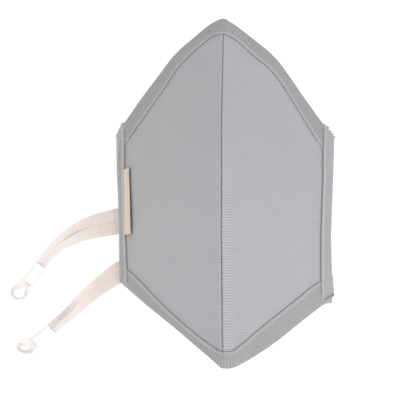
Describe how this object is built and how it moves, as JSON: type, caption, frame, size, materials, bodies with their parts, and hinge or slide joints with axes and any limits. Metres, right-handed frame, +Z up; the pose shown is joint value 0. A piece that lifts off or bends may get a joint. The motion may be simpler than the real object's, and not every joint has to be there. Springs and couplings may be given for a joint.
{
  "type": "cloth face mask",
  "caption": "Sewn two-panel cloth face mask with a centre seam, taped edges, side casings, elastic ear loops and sliding adjusters.",
  "frame": {"origin": "on the surface the mask lies on, under the middle of its outline without the ear loops", "axes": "+Z up, +Y along the centre seam towards the nose end, -X towards the side that the ear loops trail to"},
  "size_m": [0.1577, 0.1531, 0.0904],
  "materials": {
    "outer_cloth": "fine piqué weave, matte",
    "filter_cloth": "nonwoven, matte",
    "lining_cloth": "plain weave, matte",
    "tape": "ribbed tape, matte",
    "thread": "sewing thread",
    "label": "woven satin tape",
    "elastic": "knitted elastic",
    "adjuster": "translucent, satin"
  },
  "bodies": {
    "left_half": {"outer_panel_left": "outer_cloth", "filter_layer_left": "filter_cloth", "lining_left": "lining_cloth", "upper_binding_left": "tape", "lower_binding_left": "tape", "side_casing_left": "tape", "upper_binding_thread_left": "thread", "lower_binding_thread_left": "thread", "casing_thread_left": "thread", "centre_seam_thread": "thread", "ear_loop_left": "elastic", "ear_loop_right": "elastic"},
    "right_half": {"outer_panel_right": "outer_cloth", "filter_layer_right": "filter_cloth", "lining_right": "lining_cloth", "upper_binding_right": "tape", "lower_binding_right": "tape", "side_casing_right": "tape", "upper_binding_thread_right": "thread", "lower_binding_thread_right": "thread", "casing_thread_right": "thread"},
    "label": {"label_tag": "label"},
    "left_loop_adjuster": {"adjuster_left": "adjuster"},
    "right_loop_adjuster": {"adjuster_right": "adjuster"}
  },
  "joints": [
    {"name": "fold", "type": "hinge", "parent": "left_half", "child": "right_half", "pos_m": [0, 0, 0.0918], "axis": [0, -1, 0], "range_deg": [0, 60]},
    {"name": "label_flap", "type": "hinge", "parent": "left_half", "child": "label", "pos_m": [-0.04779, 0.00175, 0.01593], "axis": [0, -1, 0], "range_deg": [0, 90]},
    {"name": "left_adjuster_slide", "type": "slide", "parent": "left_half", "child": "left_loop_adjuster", "axis": [-0.5753, -0.818, 0], "range_m": [-0.007, 0]},
    {"name": "right_adjuster_slide", "type": "slide", "parent": "left_half", "child": "right_loop_adjuster", "axis": [-0.7712, -0.6366, 0], "range_m": [-0.007, 0]}
  ]
}
